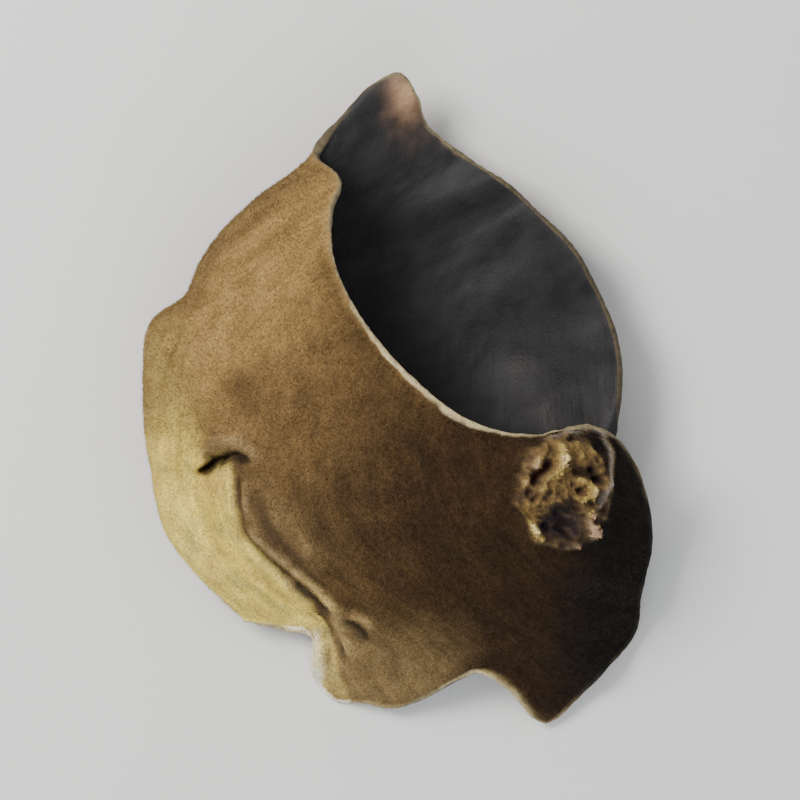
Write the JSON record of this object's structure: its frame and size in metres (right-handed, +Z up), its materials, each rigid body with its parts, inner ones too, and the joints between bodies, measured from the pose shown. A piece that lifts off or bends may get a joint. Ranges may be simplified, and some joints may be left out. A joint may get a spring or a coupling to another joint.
{
  "type": "wood ear mushroom",
  "caption": "Dried wood ear mushroom, a thin leathery cup folded over on one side, velvety tan back up, dark inner face, torn attachment scar.",
  "frame": {"origin": "middle of the ear's box, on the ground that it rests on", "axes": "+Z up; +Y along the ear's length, from its low lobes to the tip of the far leaf; +X from the fold to the open side with the scar"},
  "size_m": [0.0444, 0.0568, 0.0159],
  "materials": {
    "dried_flesh": "dried leathery flesh: matt velvety tan and brown back, satin black inner face, thin pale rim, golden torn scar"
  },
  "bodies": {
    "root": {"wood_ear": "dried_flesh"}
  },
  "joints": []
}
